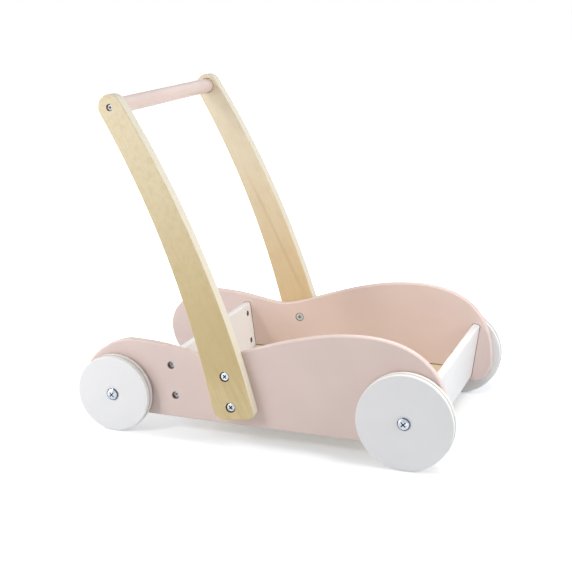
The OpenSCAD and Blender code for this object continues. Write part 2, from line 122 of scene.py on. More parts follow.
class Nodes:
    """A node tree, to which nodes are added one at a time."""

    def __init__(self, tree: bpy.types.NodeTree) -> None:
        """Takes a tree."""
        self.tree = tree

    def feed(self, node: bpy.types.Node, inputs: Inputs) -> None:
        """Links or sets a node's inputs.

        Args:
            node: The node.
            inputs: An output socket or a value for each input, by its name or number.
        """
        for name, value in inputs.items():
            if isinstance(value, Socket):
                self.tree.links.new(value, node.inputs[name])
            else:
                node.inputs[name].default_value = value

    def add(self, kind: str, output: str | int, inputs: Inputs, **settings: object) -> Socket:
        """Adds a node and feeds it.

        Args:
            kind: The node's type without its ShaderNode prefix.
            output: The name or number of the output that is wanted.
            inputs: An output socket or a value for each input, by its name or number.
            **settings: Attributes of the node.

        Returns:
            The output socket.
        """
        node = self.tree.nodes.new("ShaderNode" + kind)
        for name, value in settings.items():
            setattr(node, name, value)
        self.feed(node, inputs)
        return node.outputs[output]

    def math(self, operation: str, first: object, second: object = 0.0) -> Socket:
        """Works out a math node's operation on two sockets or numbers."""
        return self.add("Math", "Value", {0: first, 1: second}, operation=operation)

    def remap(
        self,
        value: Socket,
        low: float,
        high: float,
        to_low: float = 0.0,
        to_high: float = 1.0,
    ) -> Socket:
        """Maps the range from low to high smoothly onto another one, and clamps it."""
        span = {"Value": value, "From Min": low, "From Max": high, "To Min": to_low, "To Max": to_high}
        return self.add("MapRange", "Result", span, interpolation_type="SMOOTHSTEP")

    def seen(self) -> Socket:
        """Gives 1 for a ray from the eye, off gloss or through glass, and 0 for any other.

        Returns:
            The value socket.
        """
        path = self.tree.nodes.new("ShaderNodeLightPath").outputs
        gloss = self.math("MAXIMUM", path["Is Camera Ray"], path["Is Glossy Ray"])
        return self.math("MAXIMUM", gloss, path["Is Transmission Ray"])


class Recipe(Nodes):
    """A material's nodes, round one Principled shader."""

    def __init__(self, name: str) -> None:
        """Starts an empty recipe.

        Args:
            name: The material's name.
        """
        self.material = bpy.data.materials.new(name)
        self.material.use_nodes = True
        super().__init__(self.material.node_tree)
        self.shader = self.tree.nodes["Principled BSDF"]
        self.place = self.add("TexCoord", "Object", {})

    def turned(self, turn: Euler, move: Vector = Vector()) -> Socket:
        """Gives the piece's own coordinates, turned and then moved."""
        return self.add("Mapping", "Vector", {"Vector": self.place, "Rotation": turn, "Location": move})

    def stretched(self, vector: Socket, x: float, y: float, z: float) -> Socket:
        """Stretches coordinates by a factor along each axis."""
        return self.add("Mapping", "Vector", {"Vector": vector, "Scale": (x, y, z)})

    def noise(self, vector: Socket, scale: float, detail: float = 2.0, rough: float = 0.5) -> Socket:
        """Gives noise about 0.5, with so many lumps per metre and octaves of finer ones."""
        lumps = {"Vector": vector, "Scale": scale, "Detail": detail, "Roughness": rough}
        return self.add("TexNoise", "Fac", lumps)

    def mix(self, share: object, first: object, second: object) -> Socket:
        """Mixes a share of a second colour into a first one."""
        return self.add("Mix", 2, {0: share, 6: first, 7: second}, data_type="RGBA", blend_type="MIX")

    def bump(self, height: Socket, depth: float, under: Socket | None = None) -> Socket:
        """Turns a height from 0 to 1 into relief of a depth in metres, on other relief if there is any."""
        relief = {"Height": height, "Strength": 1.0, "Distance": depth}
        return self.add("Bump", "Normal", relief if under is None else {**relief, "Normal": under})

    def part(self, vector: Socket, axis: str) -> Socket:
        """Gives one coordinate of a vector."""
        return self.add("SeparateXYZ", axis, {"Vector": vector})

    def finish(
        self,
        colour: object,
        rough: object,
        normal: Socket,
        metal: float = 0.0,
        coat: float = 0.0,
        coat_rough: float = 0.2,
    ) -> Material:
        """Feeds the shader.

        Args:
            colour: The base colour, a socket or colour.
            rough: The roughness, a socket or number.
            normal: The relief.
            metal: 1 for metal.
            coat: Strength of a clear coat.
            coat_rough: Roughness of that coat.

        Returns:
            The finished material.
        """
        looks = {
            "Base Color": colour,
            "Roughness": rough,
            "Normal": normal,
            "Metallic": metal,
            "Coat Weight": coat,
            "Coat Roughness": coat_rough,
        }
        self.feed(self.shader, looks)
        return self.material


# ---- finishes


@dataclass(frozen=True)
class Lacquer:
    """Coloured lacquer, sprayed on sanded plywood whose grain shows through as a faint relief.

    Attributes:
        name: The material's name.
        colour: Its lighter colour.
        shade: Its darker colour.
        rough: Its mean roughness.
        grain_turn: The turn that lays the grain along the piece.
        grain_depth: The depth of the grain's relief.
        grain_scale: Fibres per metre, across the grain.
        grain_length: The share by which a fibre's noise is squeezed along the grain.
        streak_share: The most that a fibre takes of the darker colour.
        peel_depth: The depth of the skin's dimples.
        peel_scale: Dimples per metre.
        drift_scale: Slow changes of tone per metre.
        coat: The strength of the clear skin.
        coat_rough: The roughness of the clear skin.
    """

    name: str
    colour: Colour
    shade: Colour
    rough: float = 0.42
    grain_turn: Euler = field(default_factory=lambda: Euler((0, math.pi / 2, 0)))
    grain_depth: float = 0.02 * MM
    grain_scale: float = 520
    grain_length: float = 0.04
    streak_share: float = 0.35
    peel_depth: float = 0.012 * MM
    peel_scale: float = 1100
    drift_scale: float = 16
    coat: float = 0.12
    coat_rough: float = 0.25

    def make(self) -> Material:
        """Builds the material.

        Returns:
            The material.
        """
        recipe = Recipe(self.name)
        along = recipe.stretched(recipe.turned(self.grain_turn), 1, 1, self.grain_length)
        fibres = recipe.noise(along, self.grain_scale, detail=3, rough=0.6)
        drift = recipe.noise(recipe.place, self.drift_scale)
        colour = recipe.mix(recipe.remap(drift, 0.35, 0.65), self.colour, self.shade)
        streaks = recipe.remap(fibres, 0.4, 0.75, to_high=self.streak_share)
        colour = recipe.mix(streaks, colour, self.shade)
        peel = recipe.noise(recipe.place, self.peel_scale, detail=1)
        rough = recipe.remap(drift, 0.25, 0.75, self.rough - 0.04, self.rough + 0.05)
        relief = recipe.bump(peel, self.peel_depth, recipe.bump(fibres, self.grain_depth))
        return recipe.finish(colour, rough, relief, coat=self.coat, coat_rough=self.coat_rough)


@dataclass(frozen=True)
class BirchPly:
    """Clear-lacquered birch plywood: fibres, soft figure and flecks on its faces, layers on its edges. Its
    faces also grow lighter with height, as painted light and shade.

    Attributes:
        name: The material's name.
        thin: The axis that the board's thickness lies along.
        middle: The place of the board's middle along that axis.
        thickness: The board's thickness.
        top: The face's colour at fade_to and above, lighter as painted light.
        base: The face's colour at fade_from and below, darker as painted shade.
        streak: The darker colour of its figure.
        edge: The colour of a cut layer.
        glue: The colour of the lines between the layers.
        turn: The turn that lays the grain along the board.
        seed: The move that picks the board's own figure.
        fade_from: The height at which the face's colour starts to change, as painted light and shade.
        fade_to: The height at which it has changed.
        foot: The face's colour below foot_top, if it is another one: a lighter one, as painted light near
            the floor.
        foot_top: The height at which the foot's colour starts to fade.
        foot_fade: The height over which it fades.
        foot_figure: The strength of the long figure at the foot.
        foot_cloud: The strength of the mottle at the foot.
        figure_share: The strength of the long figure higher up.
        cloud_share: The strength of the mottle higher up.
        cloud_scale: Spots of the mottle per metre.
        cloud_stretch: The share by which they are squeezed along the grain.
        vein_share: The strength of the one long vein.
        vein_across: The vein's place across the grain.
        vein_middle: The vein's middle along the grain.
        vein_reach: The vein's half length.
        vein_width: The vein's half width.
        veneer: The thickness of a face's veneer.
        layer: The thickness of a layer.
        fibre_scale: Fibres per metre, across the grain.
        fibre_length: The share by which they are squeezed along the grain.
        fibre_depth: The depth of their relief.
        figure_scale: Bands of the long figure per metre.
        figure_length: The share by which they are squeezed along the grain.
        fleck_scale: Flecks per metre.
        fleck_length: The share by which they are squeezed along the grain.
    """

    name: str
    thin: Thin
    middle: float
    thickness: float
    top: Colour
    base: Colour
    streak: Colour
    edge: Colour = paint(227, 220, 201)
    glue: Colour = paint(206, 194, 166)
    turn: Euler = field(default_factory=lambda: Euler((0, 0, 0)))
    seed: Vector = field(default_factory=Vector)
    fade_from: float = 60 * MM
    fade_to: float = 400 * MM
    foot: Colour | None = None
    foot_top: float = 60 * MM
    foot_fade: float = 50 * MM
    foot_figure: float = 0.30
    foot_cloud: float = 0.20
    figure_share: float = 0.30
    cloud_share: float = 0.20
    cloud_scale: float = 62
    cloud_stretch: float = 0.6
    vein_share: float = 0.0
    vein_across: float = 23.5 * MM
    vein_middle: float = 222 * MM
    vein_reach: float = 125 * MM
    vein_width: float = 5 * MM
    veneer: float = 0.8 * MM
    layer: float = 1.45 * MM
    fibre_scale: float = 900
    fibre_length: float = 0.03
    fibre_depth: float = 0.018 * MM
    figure_scale: float = 110
    figure_length: float = 0.07
    fleck_scale: float = 1150
    fleck_length: float = 0.14

    def make(self) -> Material:
        """Builds the material.

        Returns:
            The material.
        """
        recipe = Recipe(self.name)
        along = recipe.turned(self.turn, self.seed)
        long = recipe.stretched(along, 1, 1, self.fibre_length)
        fibres = recipe.noise(long, self.fibre_scale, detail=3, rough=0.65)
        depth, edge = self.layers(recipe, fibres)
        skin = self.thickness / 2 - self.veneer
        blur = 0.05 * MM
        inside = recipe.remap(depth, skin - blur, skin + blur)
        colour = recipe.mix(inside, edge, self.face(recipe, along, fibres))
        rough = recipe.remap(fibres, 0.3, 0.8, 0.42, 0.56)
        relief = recipe.bump(fibres, self.fibre_depth)
        return recipe.finish(colour, rough, relief, coat=0.10, coat_rough=0.3)

    def face(self, recipe: Recipe, along: Socket, fibres: Socket) -> Socket:
        """Draws the figure of a face, and paints light and shade on it as a change of tone with height.

        Args:
            recipe: The recipe.
            along: The piece's coordinates, turned to the grain and moved by the seed.
            fibres: The noise of its fibres.

        Returns:
            The face's colour.
        """
        height = recipe.part(recipe.place, "Z")
        # Painted light and shade: the face is darker low down and lighter high up.
        face = recipe.mix(recipe.remap(height, self.fade_from, self.fade_to), self.base, self.top)
        if self.foot is not None:
            # Painted light: a lighter foot near the floor.
            painted_light_at_foot = recipe.remap(height, self.foot_top, self.foot_top + self.foot_fade, 1.0, 0.0)
            face = recipe.mix(painted_light_at_foot, face, self.foot)
        rise = recipe.remap(height, self.fade_from, self.fade_from + 2 * self.foot_fade)
        long = recipe.stretched(along, 1, 1, self.figure_length)
        figure = recipe.noise(long, self.figure_scale, detail=3, rough=0.55)
        soft = recipe.stretched(along, 1, 1, self.cloud_stretch)
        clouds = recipe.noise(soft, self.cloud_scale, detail=4, rough=0.62)
        strengths = (
            (recipe.remap(figure, 0.50, 0.76), self.foot_figure, self.figure_share),
            (recipe.remap(clouds, 0.40, 0.72), self.foot_cloud, self.cloud_share),
        )
        for strength, low, high in strengths:
            share = recipe.remap(rise, 0.0, 1.0, low, high)
            face = recipe.mix(recipe.math("MULTIPLY", strength, share), face, self.streak)
        if self.vein_share > 0:
            face = recipe.mix(self.vein(recipe, figure), face, self.streak)
        face = recipe.mix(recipe.remap(fibres, 0.40, 0.75, to_high=0.12), face, self.streak)
        short = recipe.stretched(along, 1, 1, self.fleck_length)
        flecks = recipe.noise(short, self.fleck_scale, detail=1)
        return recipe.mix(recipe.remap(flecks, 0.66, 0.74, to_high=0.22), face, self.streak)

    def layers(self, recipe: Recipe, fibres: Socket) -> tuple[Socket, Socket]:
        """Draws the layers of a cut edge.

        Args:
            recipe: The recipe.
            fibres: The noise of the wood's fibres.

        Returns:
            The distance from the board's middle, and the edge's colour.
        """
        across = recipe.part(recipe.place, self.thin.value)
        if self.thin is Thin.Y:
            across = recipe.math("ABSOLUTE", across)
        depth = recipe.math("ABSOLUTE", recipe.math("SUBTRACT", across, self.middle))
        layers = recipe.math("PINGPONG", recipe.math("ADD", depth, self.layer / 4), self.layer / 2)
        lines = recipe.remap(layers, 0.0, self.layer * 0.16, 0.35, 0.0)
        edge = recipe.mix(lines, self.edge, self.glue)
        return depth, recipe.mix(recipe.remap(fibres, 0.35, 0.8, to_high=0.18), edge, self.glue)

    def vein(self, recipe: Recipe, figure: Socket) -> Socket:
        """Draws one long darker vein along the grain, which fades towards its ends.

        Args:
            recipe: The recipe.
            figure: The noise that makes it waver.

        Returns:
            The share of the streak's colour.
        """
        grain = recipe.turned(self.turn)
        waver = recipe.math("MULTIPLY", recipe.math("SUBTRACT", figure, 0.5), 2 * self.vein_width)
        offset = recipe.math("SUBTRACT", recipe.part(grain, "X"), self.vein_across)
        across = recipe.math("ABSOLUTE", recipe.math("ADD", offset, waver))
        strength = recipe.remap(across, 0.0, self.vein_width, self.vein_share, 0.0)
        along = recipe.math("SUBTRACT", recipe.part(grain, "Z"), self.vein_middle)
        away = recipe.math("ABSOLUTE", along)
        ends = recipe.remap(away, self.vein_reach * 0.3, self.vein_reach, 1.0, 0.0)
        return recipe.math("MULTIPLY", strength, ends)


@dataclass(frozen=True)
class RawWood:
    """Bare wood inside holes and housings, in colours darkened as painted shade."""

    name: str
    colour: Colour
    dark: Colour
    rough: float = 0.8
    ring_scale: float = 1400
    ring_depth: float = 0.05 * MM

    def make(self) -> Material:
        """Builds the material.

        Returns:
            The material.
        """
        recipe = Recipe(self.name)
        along = recipe.stretched(recipe.place, 1, 0.15, 1)
        rings = recipe.noise(along, self.ring_scale, detail=3, rough=0.6)
        colour = recipe.mix(recipe.remap(rings, 0.3, 0.7), self.colour, self.dark)
        return recipe.finish(colour, self.rough, recipe.bump(rings, self.ring_depth))


@dataclass(frozen=True)
class PlatedSteel:
    """Plated steel, with a fine haze and hair lines."""

    name: str
    colour: Colour
    haze: Colour
    rough: float
    metal: float = 1.0
    haze_scale: float = 420
    line_scale: float = 900
    line_depth: float = 0.004 * MM

    def make(self) -> Material:
        """Builds the material.

        Returns:
            The material.
        """
        recipe = Recipe(self.name)
        haze = recipe.noise(recipe.place, self.haze_scale, detail=3, rough=0.6)
        lines = recipe.noise(recipe.stretched(recipe.place, 1, 8, 12), self.line_scale)
        colour = recipe.mix(recipe.remap(haze, 0.3, 0.75), self.colour, self.haze)
        rough = recipe.remap(haze, 0.25, 0.8, self.rough - 0.05, self.rough + 0.10)
        return recipe.finish(colour, rough, recipe.bump(lines, self.line_depth), metal=self.metal)


@dataclass(frozen=True)
class Moulded:
    """Moulded rubber or nylon with a fine even grain."""

    name: str
    colour: Colour
    shade: Colour
    rough: float
    grain_scale: float = 2300
    grain_depth: float = 0.02 * MM
    cloud_scale: float = 90

    def make(self) -> Material:
        """Builds the material.

        Returns:
            The material.
        """
        recipe = Recipe(self.name)
        grain = recipe.noise(recipe.place, self.grain_scale)
        clouds = recipe.noise(recipe.place, self.cloud_scale)
        colour = recipe.mix(recipe.remap(clouds, 0.3, 0.7), self.colour, self.shade)
        rough = recipe.remap(grain, 0.3, 0.7, self.rough - 0.05, self.rough + 0.05)
        return recipe.finish(colour, rough, recipe.bump(grain, self.grain_depth))


Finish = Lacquer | BirchPly | RawWood | PlatedSteel | Moulded


class Finishes:
    """The walker's materials, each made once."""

    pink = Lacquer("Pink lacquer", paint(222, 201, 194), paint(219, 198, 191))
    # Painted light: a lighter copy of the pink lacquer for the push bar.
    pink_bar = Lacquer(
        "Pink lacquer on the bar",
        paint(226, 204, 196),
        paint(222, 200, 192),
        grain_turn=Euler((math.pi / 2, 0, 0)),
        grain_depth=0.035 * MM,
    )
    white = Lacquer("White lacquer", paint(232, 231, 231), paint(230, 229, 229), 0.40)
    # Painted light: a lighter copy of the white lacquer for the treads.
    tread = Lacquer("Thin white lacquer on a tread", paint(237, 237, 235), paint(234, 234, 232), 0.50)
    # Cut wood in holes, far darker than cut birch: partly the wood's own tone, partly painted shade.
    raw = RawWood("Cut wood in a hole", paint(142, 108, 88), paint(104, 76, 60))
    # Cut wood under a mist of pink, darker than the lacquer: partly its own tone, partly painted shade in
    # recesses and housings.
    sprayed = RawWood("Cut wood under a mist of pink lacquer", paint(186, 156, 142), paint(150, 120, 106))
    # Painted shade: a dark plating for the walls and floors of cross recesses.
    recess = PlatedSteel("Painted shade in a recess", paint(54, 58, 64), paint(34, 38, 43), 0.35)
    # Painted shade: a darker, less metallic copy of the zinc plate for sockets and cross recesses.
    socket = PlatedSteel("Zinc plate of a socket", paint(168, 176, 190), paint(132, 141, 156), 0.35, 0.4)
    # Painted shade: a dark plating that paints shade and dark reflection round the rims of domed heads and
    # flanges.
    shade = PlatedSteel("Chrome plate of a rim", paint(98, 108, 120), paint(70, 80, 92), 0.25)
    chrome = PlatedSteel("Chrome plate", paint(203, 209, 216), paint(179, 188, 198), 0.20)
    zinc = PlatedSteel("Zinc plate", paint(205, 210, 217), paint(180, 187, 196), 0.27)
    # Painted light: a whiter, barely metallic copy of the zinc plate for heads deep in their recesses.
    dull = PlatedSteel("Dull zinc plate", paint(235, 240, 249), paint(214, 222, 236), 0.32, 0.12)
    # Painted light: a white, non-metallic copy of the zinc plate for the handle screws, whose heads sit in
    # shade.
    bright = PlatedSteel("Bright zinc plate", paint(252, 252, 252), paint(243, 243, 245), 0.30, 0.0)
    flange = PlatedSteel("Grey zinc plate", paint(206, 213, 213), paint(184, 192, 193), 0.30, 0.25)
    rubber = Moulded("Cream rubber cord", paint(201, 200, 193), paint(191, 190, 182), 0.72)
    nylon = Moulded("Nylon", paint(238, 238, 234), paint(230, 230, 226), 0.45)

    def __init__(self) -> None:
        """Starts with no material made."""
        self.made: dict[str, Material] = {}

    def get(self, finish: Finish) -> Material:
        """Gives the material of a finish.

        Args:
            finish: The finish.

        Returns:
            Its material, made at the first call.
        """
        if finish.name not in self.made:
            self.made[finish.name] = finish.make()
        return self.made[finish.name]


FINISHES = Finishes()


# ---- mesh tools


def smooth_object(name: str, mesh: Mesh, finishes: Iterable[Finish]) -> Piece:
    """Turns a finished mesh into an object: flat faces stay flat, rounded edges shade smoothly.

    Args:
        name: The object's name.
        mesh: The mesh, which is freed.
        finishes: Its finishes, in the order of its faces' indices.

    Returns:
        The object, at the origin.
    """
    crease = math.radians(38)
    data = bpy.data.meshes.new(name)
    mesh.to_mesh(data)
    mesh.free()
    if "custom_normal" in data.attributes:
        data.attributes.remove(data.attributes["custom_normal"])
    for polygon in data.polygons:
        polygon.use_smooth = True
    data.set_sharp_from_angle(angle=crease)
    for finish in finishes:
        data.materials.append(FINISHES.get(finish))
    piece = bpy.data.objects.new(name, data)
    bpy.context.scene.collection.objects.link(piece)
    shading = piece.modifiers.new("Even shading", "WEIGHTED_NORMAL")
    shading.keep_sharp = True
    shading.weight = 100
    return piece


def merged_copy(node: str) -> Mesh:
    """Copies a CAD node's loose triangles and merges them into whole flat faces.

    Args:
        node: The node's name.

    Returns:
        The merged mesh.
    """
    mesh = bmesh.new()
    mesh.from_mesh(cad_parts[node].data)
    bmesh.ops.remove_doubles(mesh, verts=mesh.verts, dist=0.002 * MM)
    bmesh.ops.dissolve_limit(
        mesh,
        angle_limit=math.radians(0.3),
        verts=mesh.verts,
        edges=mesh.edges,
        use_dissolve_boundaries=False,
    )
    for face in mesh.faces:
        face.material_index = 0
    return mesh


def joined(loose: set, beside: Callable[[Edge | Face], Iterable]) -> list[set]:
    """Groups edges or faces into those that touch.

    Args:
        loose: The edges or faces, which are used up.
        beside: Gives the edges or faces that touch one.

    Returns:
        The groups.
    """
    groups = []
    while loose:
        fresh = [loose.pop()]
        group = set(fresh)
        while fresh:
            near = loose.intersection(beside(fresh.pop()))
            loose -= near
            group |= near
            fresh.extend(near)
        groups.append(group)
    return groups


def sharp_loops(mesh: Mesh, angle: float) -> list[set[Edge]]:
    """Groups the outward edges that are sharper than an angle into those that join up."""
    sharp = {e for e in mesh.edges if e.is_manifold and e.is_convex and e.calc_face_angle() > angle}
    return joined(sharp, lambda edge: (near for vert in edge.verts for near in vert.link_edges))


def islands(mesh: Mesh) -> list[set[Face]]:
    """Groups a mesh's faces into its separate bodies."""
    return joined(set(mesh.faces), lambda face: (near for edge in face.edges for near in edge.link_faces))


def reach(verts: Iterable[bmesh.types.BMVert]) -> tuple[Vector, Vector]:
    """Gives the lowest and highest corners of some vertices.

    Args:
        verts: The vertices.

    Returns:
        The two corners.
    """
    places = [vert.co for vert in verts]
    low = Vector(min(p[i] for p in places) for i in range(3))
    high = Vector(max(p[i] for p in places) for i in range(3))
    return low, high


def is_outline(loop: set[Edge], box: tuple[Vector, Vector]) -> bool:
    """Says whether a loop of edges is as large as the whole piece along two axes.

    Args:
        loop: The edges.
        box: The lowest and highest corners of the piece.

    Returns:
        True if it is.
    """
    low, high = reach(vert for edge in loop for vert in edge.verts)
    near = 0.1 * MM
    return sum(abs(low[i] - box[0][i]) < near and abs(high[i] - box[1][i]) < near for i in range(3)) >= 2


def from_axis(place: Vector, centre: Vector) -> float:
    """Gives a point's distance from the line along Y through another."""
    return math.hypot(place.x - centre.x, place.z - centre.z)


def round_edges(mesh: Mesh, edges: Iterable[Edge], radius: float, segments: int) -> None:
    """Rounds edges, and passes over those that an earlier round has taken away.

    Args:
        mesh: The mesh.
        edges: The edges.
        radius: The radius in metres.
        segments: The number of strips across the round.
    """
    geometry = [edge for edge in edges if edge.is_valid]
    if geometry:
        bmesh.ops.bevel(
            mesh,
            geom=geometry,
            offset=radius,
            offset_type="OFFSET",
            affect="EDGES",
            segments=segments,
            profile=0.5,
            material=-1,
            clamp_overlap=True,
            loop_slide=False,
        )


@dataclass
class Copied:
    """A CAD node's copy with rounded edges, which stands for the node.

    Attributes:
        node: The node's name.
        finish: The finish of its surface.
        slot: The record's slot of that finish; not used.
        edge: The radius of its long outer edges.
        mouth: The radius of the edges round its holes, and of all edges of a small piece.
        body: The body that it moves with.
        hollows: The finish of the walls of its holes, if it is another one: a darker one, which paints
            shade there.
        rim: The finish of its rim, if it is another one: a darker one, which paints shade there.
        sharp: The least angle of an edge that is rounded.
        outer: The edges of its outline, found by build.
        mouths: The other edges that are rounded, found by build.
    """

    node: str
    finish: Finish
    slot: Slot
    edge: float
    mouth: float
    body: str = "frame"
    hollows: Finish | None = None
    rim: Finish | None = None
    sharp: float = math.radians(30)
    outer: set[Edge] = field(default_factory=set, init=False)
    mouths: set[Edge] = field(default_factory=set, init=False)

    def build(self) -> Piece:
        """Returns:
            The piece.
        """
        mesh = merged_copy(self.node)
        box = reach(mesh.verts)
        for loop in sharp_loops(mesh, self.sharp):
            (self.outer if is_outline(loop, box) else self.mouths).update(loop)
        self.shape(mesh)
        round_edges(mesh, self.outer, self.edge, segments=5)
        round_edges(mesh, self.mouths, self.mouth, segments=3)
        finishes = [finish for finish in (self.finish, self.hollows, self.rim) if finish is not None]
        piece = smooth_object(self.node + "_finished", mesh, finishes)
        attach(piece, self.body)
        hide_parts(self.node)
        return piece

    def shape(self, mesh: Mesh) -> None:
        """Gives the walls of holes and housings their own darker finish, as painted shade, before the
        edges are rounded.

        Args:
            mesh: The merged mesh.
        """
        if self.hollows is None:
            return
        rounded = self.outer | self.mouths
        fresh = [min(edge.link_faces, key=lambda face: face.calc_area()) for edge in self.mouths]
        while fresh:
            face = fresh.pop()
            if face.material_index == 1:
                continue
            face.material_index = 1
            for edge in face.edges:
                if edge not in rounded:
                    fresh.extend(edge.link_faces)


@dataclass
class Screw(Copied):
    """A screw's copy, whose cross recess narrows towards its floor and takes a dark finish as painted
    shade.

    Attributes:
        taper: The width of the recess's floor, as a share of its mouth's.
        corners: The number of corners of the recess.
        square_on: The least share of its floor's normal that lies along Y.
    """

    finish: Finish = Finishes.zinc
    slot: Slot = Slot.ZINC
    edge: float = 0.18 * MM
    mouth: float = 0.18 * MM
    # The cross recess takes the dark finish: painted shade.
    hollows: Finish | None = Finishes.recess
    taper: float = 0.55
    corners: int = 12
    square_on: float = 0.99

    def shape(self, mesh: Mesh) -> None:
        """Draws the floor of each cross recess together and paints shade into the recess with the dark
        finish.

        Args:
            mesh: The merged mesh.
        """
        crosses = (face for face in mesh.faces if len(face.verts) == self.corners)
        for floor in [face for face in crosses if abs(face.normal.y) > self.square_on]:
            floor.material_index = 1
            for edge in floor.edges:
                for wall in edge.link_faces:
                    wall.material_index = 1
            about = Matrix.Translation(floor.calc_center_median())
            narrow = Vector((self.taper, 1, self.taper))
            bmesh.ops.scale(mesh, vec=narrow, space=about.inverted(), verts=floor.verts)


@dataclass
class AxleBolt(Screw):
    """A wheel's bolt, whose domed head is painted darker round its rim, as painted shade and reflection.

    Attributes:
        rim_share: The share of the head's radius at which the rim of painted shade starts.
    """

    finish: Finish = Finishes.chrome
    rim: Finish | None = Finishes.shade
    rim_share: float = 0.84

    def shape(self, mesh: Mesh) -> None:
        """Paints shade into the cross recess and onto the rim of the head with darker finishes.

        Args:
            mesh: The merged mesh.
        """
        super().shape(mesh)
        low, high = reach(mesh.verts)
        centre = (low + high) / 2
        start = self.rim_share * (high.x - low.x) / 2
        # Faces beyond the start of the rim take the dark rim finish: painted shade.
        for face in mesh.faces:
            if face.material_index == 0 and from_axis(face.calc_center_median(), centre) > start:
                face.material_index = 2


@dataclass
class SleeveNut(Copied):
    """A pair of sleeve nuts, whose hexagon sockets and rims take darker finishes as painted shade.

    Attributes:
        rim_share: The share of the flange's radius at which the rim of painted shade starts.
        socket: The radius within which the socket lies.
    """

    finish: Finish = Finishes.flange
    slot: Slot = Slot.ZINC
    edge: float = 0.55 * MM
    mouth: float = 0.4 * MM
    hollows: Finish | None = Finishes.socket
    rim: Finish | None = Finishes.shade
    rim_share: float = 0.86
    socket: float = 2.5 * MM

    def shape(self, mesh: Mesh) -> None:
        """Paints shade on the sockets and the rims with darker finishes.

        Args:
            mesh: The merged mesh.
        """
        for island in islands(mesh):
            low, high = reach(vert for face in island for vert in face.verts)
            centre = (low + high) / 2
            start = self.rim_share * (high.x - low.x) / 2
            for face in island:
                spans = [from_axis(vert.co, centre) for vert in face.verts]
                # Painted shade: the socket's faces take the darker socket finish, the rim's faces the dark
                # rim finish.
                if max(spans) < self.socket:
                    face.material_index = 1
                elif min(spans) > start:
                    face.material_index = 2


# ---- sub-assemblies


@dataclass
class Tray:
    """The five boards of the tray."""

    panel_edge: float = 2.4 * MM
    board_edge: float = 1.3 * MM
    floor_edge: float = 0.8 * MM
    mouth: float = 0.2 * MM

    def build(self) -> list[Piece]:
        """Builds the boards.

        Returns:
            The new pieces.
        """
        pieces = []
        for side in Side:
            node = f"side_panel_{side.label}"
            # The panel's recesses and housings take the misted cut wood, darkened as painted shade.
            mist = Finishes.sprayed
            panel = Copied(node, Finishes.pink, Slot.PINK, self.panel_edge, self.mouth, hollows=mist)
            pieces.append(panel.build())
        for end in End:
            node = f"{end.value}_board"
            # The walls of the board's holes and housings take darkened cut wood: painted shade.
            hole_wood_and_painted_shade = Finishes.raw
            board = Copied(node, Finishes.white, Slot.WHITE, self.board_edge, self.mouth, hollows=hole_wood_and_painted_shade)
            pieces.append(board.build())
        pieces.append(self.floor())
        return pieces

    def floor(self) -> Piece:
        """Builds the floor board.

        Returns:
            The piece.
        """
        node = "floor_board"
        low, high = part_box(node)
        tone = paint(227, 209, 174)
        birch = BirchPly(
            "Birch plywood of the floor",
            thin=Thin.Z,
            middle=(low.z + high.z) / 2,
            thickness=high.z - low.z,
            top=tone,
            base=tone,
            streak=paint(209, 183, 140),
            turn=Euler((0, math.pi / 2, 0)),
            seed=Vector((0.3, 0.1, 0.7)),
        )
        return Copied(node, birch, Slot.BIRCH, self.floor_edge, self.mouth).build()


# The settings of each arm's plywood: quiet and straight on the left, mottled on the right; each also grows
# lighter with height, as painted light and shade.
ARM_WOOD: dict[Side, dict[str, object]] = {
    Side.LEFT: {
        "top": paint(221, 208, 181),
        "base": paint(213, 187, 142),
        "streak": paint(187, 151, 106),
        "seed": Vector((0.41, 0.2, 0.93)),
        "foot_figure": 0.14,
        "foot_cloud": 0.14,
        "figure_share": 0.14,
        "cloud_share": 0.14,
        "vein_share": 0.34,
    },
    Side.RIGHT: {
        "top": paint(222, 207, 173),
        "base": paint(200, 178, 129),
        # A lighter foot: painted light near the floor.
        "foot": paint(212, 192, 146),
        "streak": paint(184, 160, 104),
        "seed": Vector((0.13, 0.55, 0.37)),
        "fade_from": 120 * MM,
        "foot_figure": 0.42,
        "foot_cloud": 0.14,
        "figure_share": 0.06,
        "cloud_share": 0.28,
        "cloud_scale": 135,
        "cloud_stretch": 0.9,
    },
}


@dataclass
class Handle:
    """The two bent arms and the push bar, with its screws and inserts."""

    arm_edge: float = 1.5 * MM
    mouth: float = 0.3 * MM
    bar_edge: float = 0.8 * MM
    screw_taper: float = 0.8
    grain_lean: float = math.radians(27.3)

    def build(self) -> list[Piece]:
        """Builds the handle.

        Returns:
            The new pieces.
        """
        pieces = [self.arm(side) for side in Side]
        # The bar takes the lighter copy of the pink lacquer: painted light.
        bar = Copied("handle_bar", Finishes.pink_bar, Slot.PINK, self.bar_edge, self.bar_edge)
        pieces.append(bar.build())
        for side in Side:
            # The handle screws take the whitened zinc: painted light.
            screw = Screw(f"handle_screw_{side.label}", Finishes.bright, taper=self.screw_taper)
            pieces.append(screw.build())
            dress(f"handle_insert_{side.label}", Finishes.zinc)
        return pieces

    def arm(self, side: Side) -> Piece:
        """Builds one arm.

        Args:
            side: Its side.

        Returns:
            The piece.
        """
        node = f"handle_arm_{side.label}"
        low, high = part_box(node)
        birch = BirchPly(
            f"Birch plywood of the {side.label} arm",
            thin=Thin.Y,
            middle=abs(low.y + high.y) / 2,
            thickness=high.y - low.y,
            turn=Euler((0, self.grain_lean, 0)),
            **ARM_WOOD[side],
        )
        # The walls of the arm's recesses take darkened cut wood: painted shade.
        return Copied(node, birch, Slot.BIRCH, self.arm_edge, self.mouth, hollows=Finishes.raw).build()


